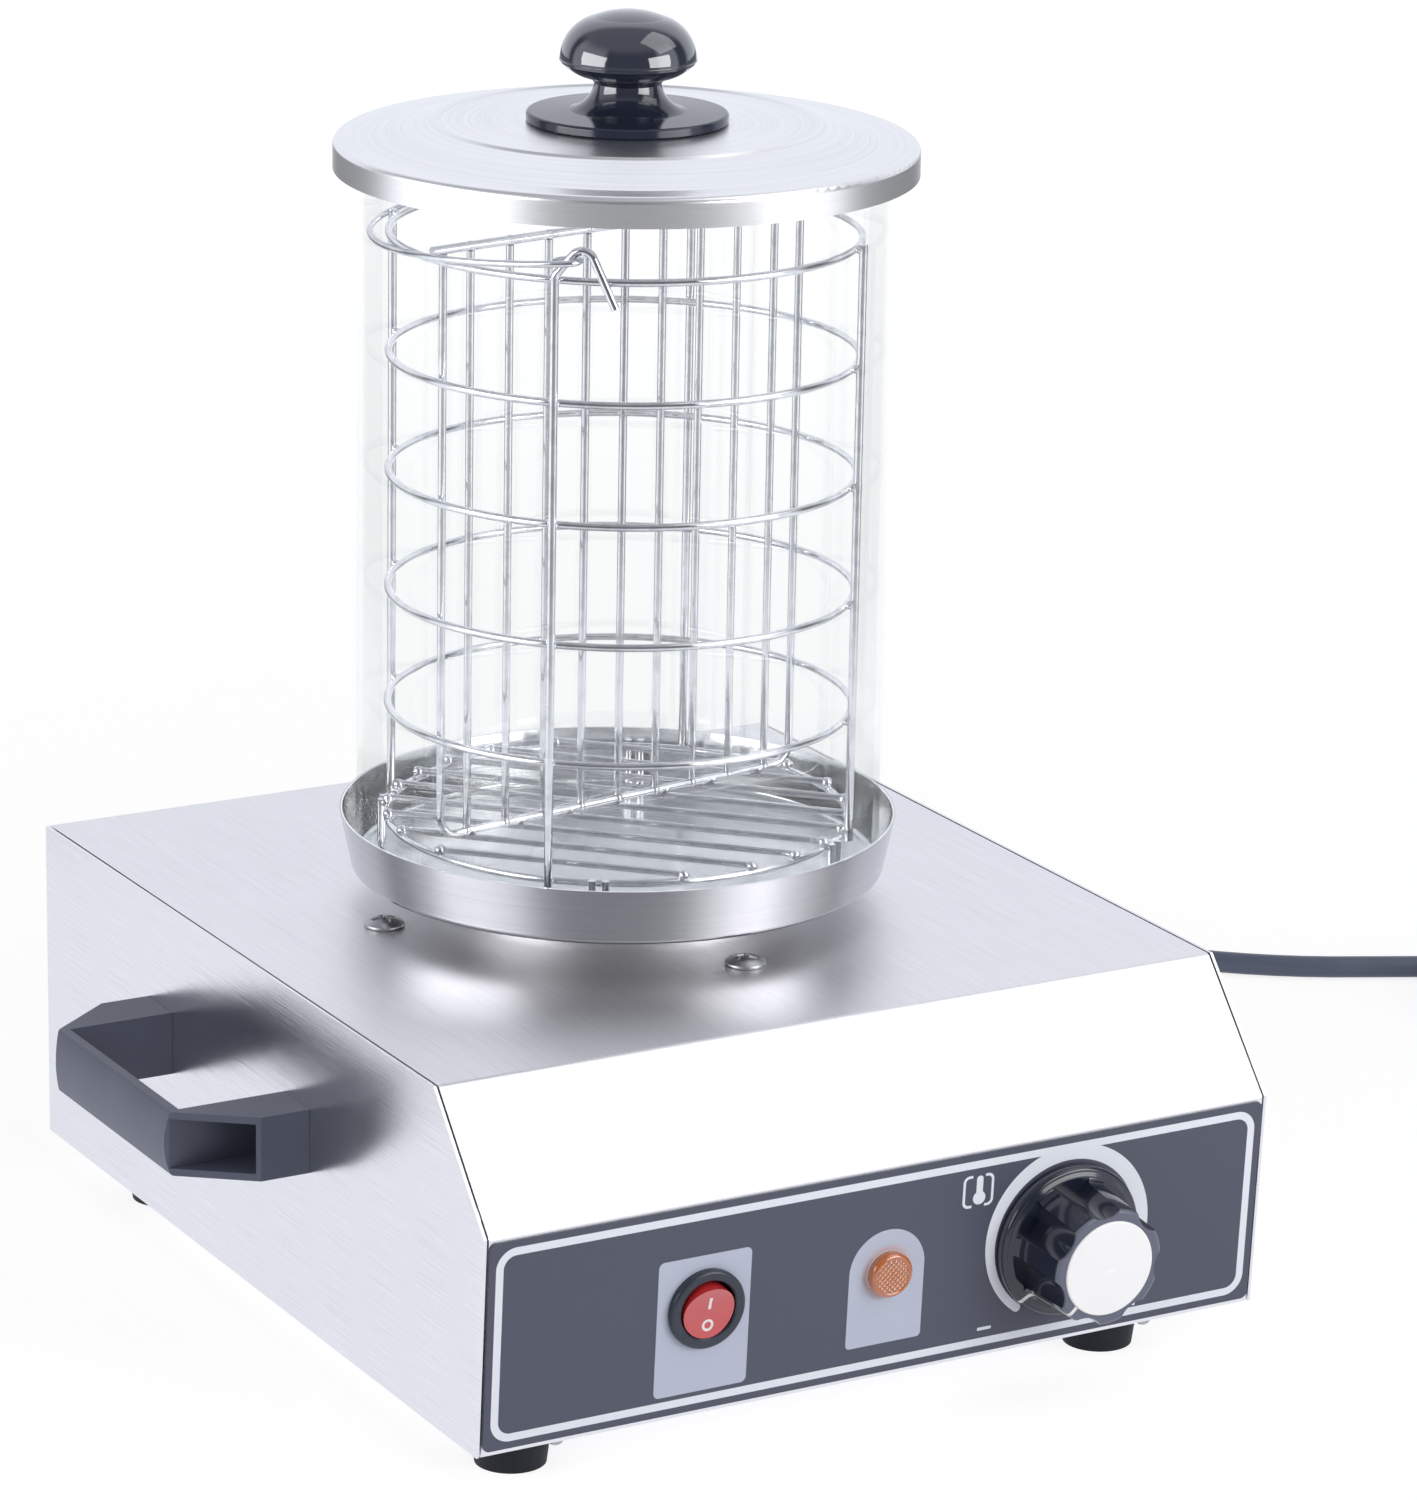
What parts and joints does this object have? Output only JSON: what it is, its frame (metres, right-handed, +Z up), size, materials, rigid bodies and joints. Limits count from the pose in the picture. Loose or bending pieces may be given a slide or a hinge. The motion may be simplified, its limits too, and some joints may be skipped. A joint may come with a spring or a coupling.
{
  "type": "hot dog machine",
  "caption": "Counter-top sausage steamer: steel housing with dial, lamp and rocker, heated water pan, clear cylinder, wire basket with divider and swinging handle, knobbed lid.",
  "frame": {"origin": "on the floor under the middle of the machine's box, cord left out", "axes": "+X to the machine's right seen from the front, +Y to the back, +Z up"},
  "size_m": [0.7372, 0.4853, 0.4183],
  "materials": {
    "steel_sheet": "brushed",
    "steel_spun": "spun",
    "wire": "polished",
    "screw_steel": "polished",
    "clear_glass": "clear",
    "gloss_black": "gloss",
    "cap_white": "satin",
    "matte_black": "matte",
    "foot_rubber": "matte",
    "overlay_print": "satin print",
    "rocker_red": "gloss",
    "lens_amber": "gloss",
    "lamp_shell": "matte",
    "heater_metal": "cast",
    "insulation_board": "matte",
    "ceramic": "satin",
    "thermostat_plastic": "matte",
    "shaft_metal": "satin",
    "sensor_copper": "satin",
    "wire_sleeve": "matte",
    "cord_rubber": "matte",
    "pin_metal": "polished"
  },
  "bodies": {
    "housing": {"top_cover": "steel_sheet", "left_side_panel": "steel_sheet", "right_side_panel": "steel_sheet", "back_panel": "steel_sheet", "base_plate": "steel_sheet", "heater_dish": "steel_sheet", "water_pan": "steel_spun", "pan_collar": "steel_spun", "base_screws": "screw_steel", "foot_fixings": "screw_steel", "handle_fixings": "screw_steel", "pan_fixings": "screw_steel", "switch_body": "gloss_black", "left_handle": "matte_black", "right_handle": "matte_black", "foot_front_left": "foot_rubber", "foot_front_right": "foot_rubber", "foot_rear_left": "foot_rubber", "foot_rear_right": "foot_rubber", "front_overlay": "overlay_print", "lamp_lens": "lens_amber", "lamp_body": "lamp_shell", "heater_plate": "heater_metal", "thermal_cutout": "heater_metal", "heater_insulation": "insulation_board", "heater_terminals": "ceramic", "thermostat_body": "thermostat_plastic", "terminal_block": "thermostat_plastic", "sensor_tube": "sensor_copper", "internal_wiring": "wire_sleeve", "power_cord": "cord_rubber", "cord_coil": "cord_rubber", "cable_gland": "cord_rubber", "gland_nut": "cord_rubber", "power_plug": "cord_rubber", "plug_pins": "pin_metal"},
    "glass": {"glass_cylinder": "clear_glass"},
    "lid": {"lid_disc": "steel_spun", "lid_knob": "gloss_black", "lid_knob_screw": "screw_steel"},
    "basket": {"basket_ring_1": "wire", "basket_ring_2": "wire", "basket_ring_3": "wire", "basket_ring_4": "wire", "basket_ring_5": "wire", "basket_floor_ring": "wire", "basket_floor_wires": "wire", "basket_feet": "wire", "upright_front": "wire", "upright_back": "wire", "upright_left": "wire", "upright_right": "wire", "divider_frame": "wire", "divider_top_bar": "wire", "divider_wires": "wire"},
    "bail": {"bail_handle": "wire"},
    "rocker": {"switch_rocker": "rocker_red"},
    "dial": {"control_knob": "gloss_black", "knob_cap": "cap_white", "thermostat_shaft": "shaft_metal"}
  },
  "joints": [
    {"name": "glass_lift", "type": "slide", "parent": "housing", "child": "glass", "axis": [0, 0, 1], "range_m": [0, 0.26]},
    {"name": "lid_lift", "type": "slide", "parent": "glass", "child": "lid", "axis": [0, 0, 1], "range_m": [0, 0.36]},
    {"name": "basket_lift", "type": "slide", "parent": "housing", "child": "basket", "axis": [0, 0, 1], "range_m": [0, 0.17]},
    {"name": "bail_swing", "type": "hinge", "parent": "basket", "child": "bail", "pos_m": [0.00283, 0.02541, 0.3523], "axis": [0.7071, 0.7071, 0], "range_deg": [0, 88]},
    {"name": "rocker_swing", "type": "hinge", "parent": "housing", "child": "rocker", "pos_m": [-0.0644, -0.14801, 0.04682], "axis": [-1, 0, 0], "range_deg": [0, 18]},
    {"name": "dial_turn", "type": "hinge", "parent": "housing", "child": "dial", "pos_m": [0.0675, -0.1534, 0.04652], "axis": [0, 0.9984, 0.0564], "range_deg": [0, 270]}
  ],
  "couplings": [
    {"joint": "basket_lift", "follows": "lid_lift", "ratio": 0.45},
    {"joint": "bail_swing", "follows": "lid_lift", "rad_per_m": 4.16}
  ]
}
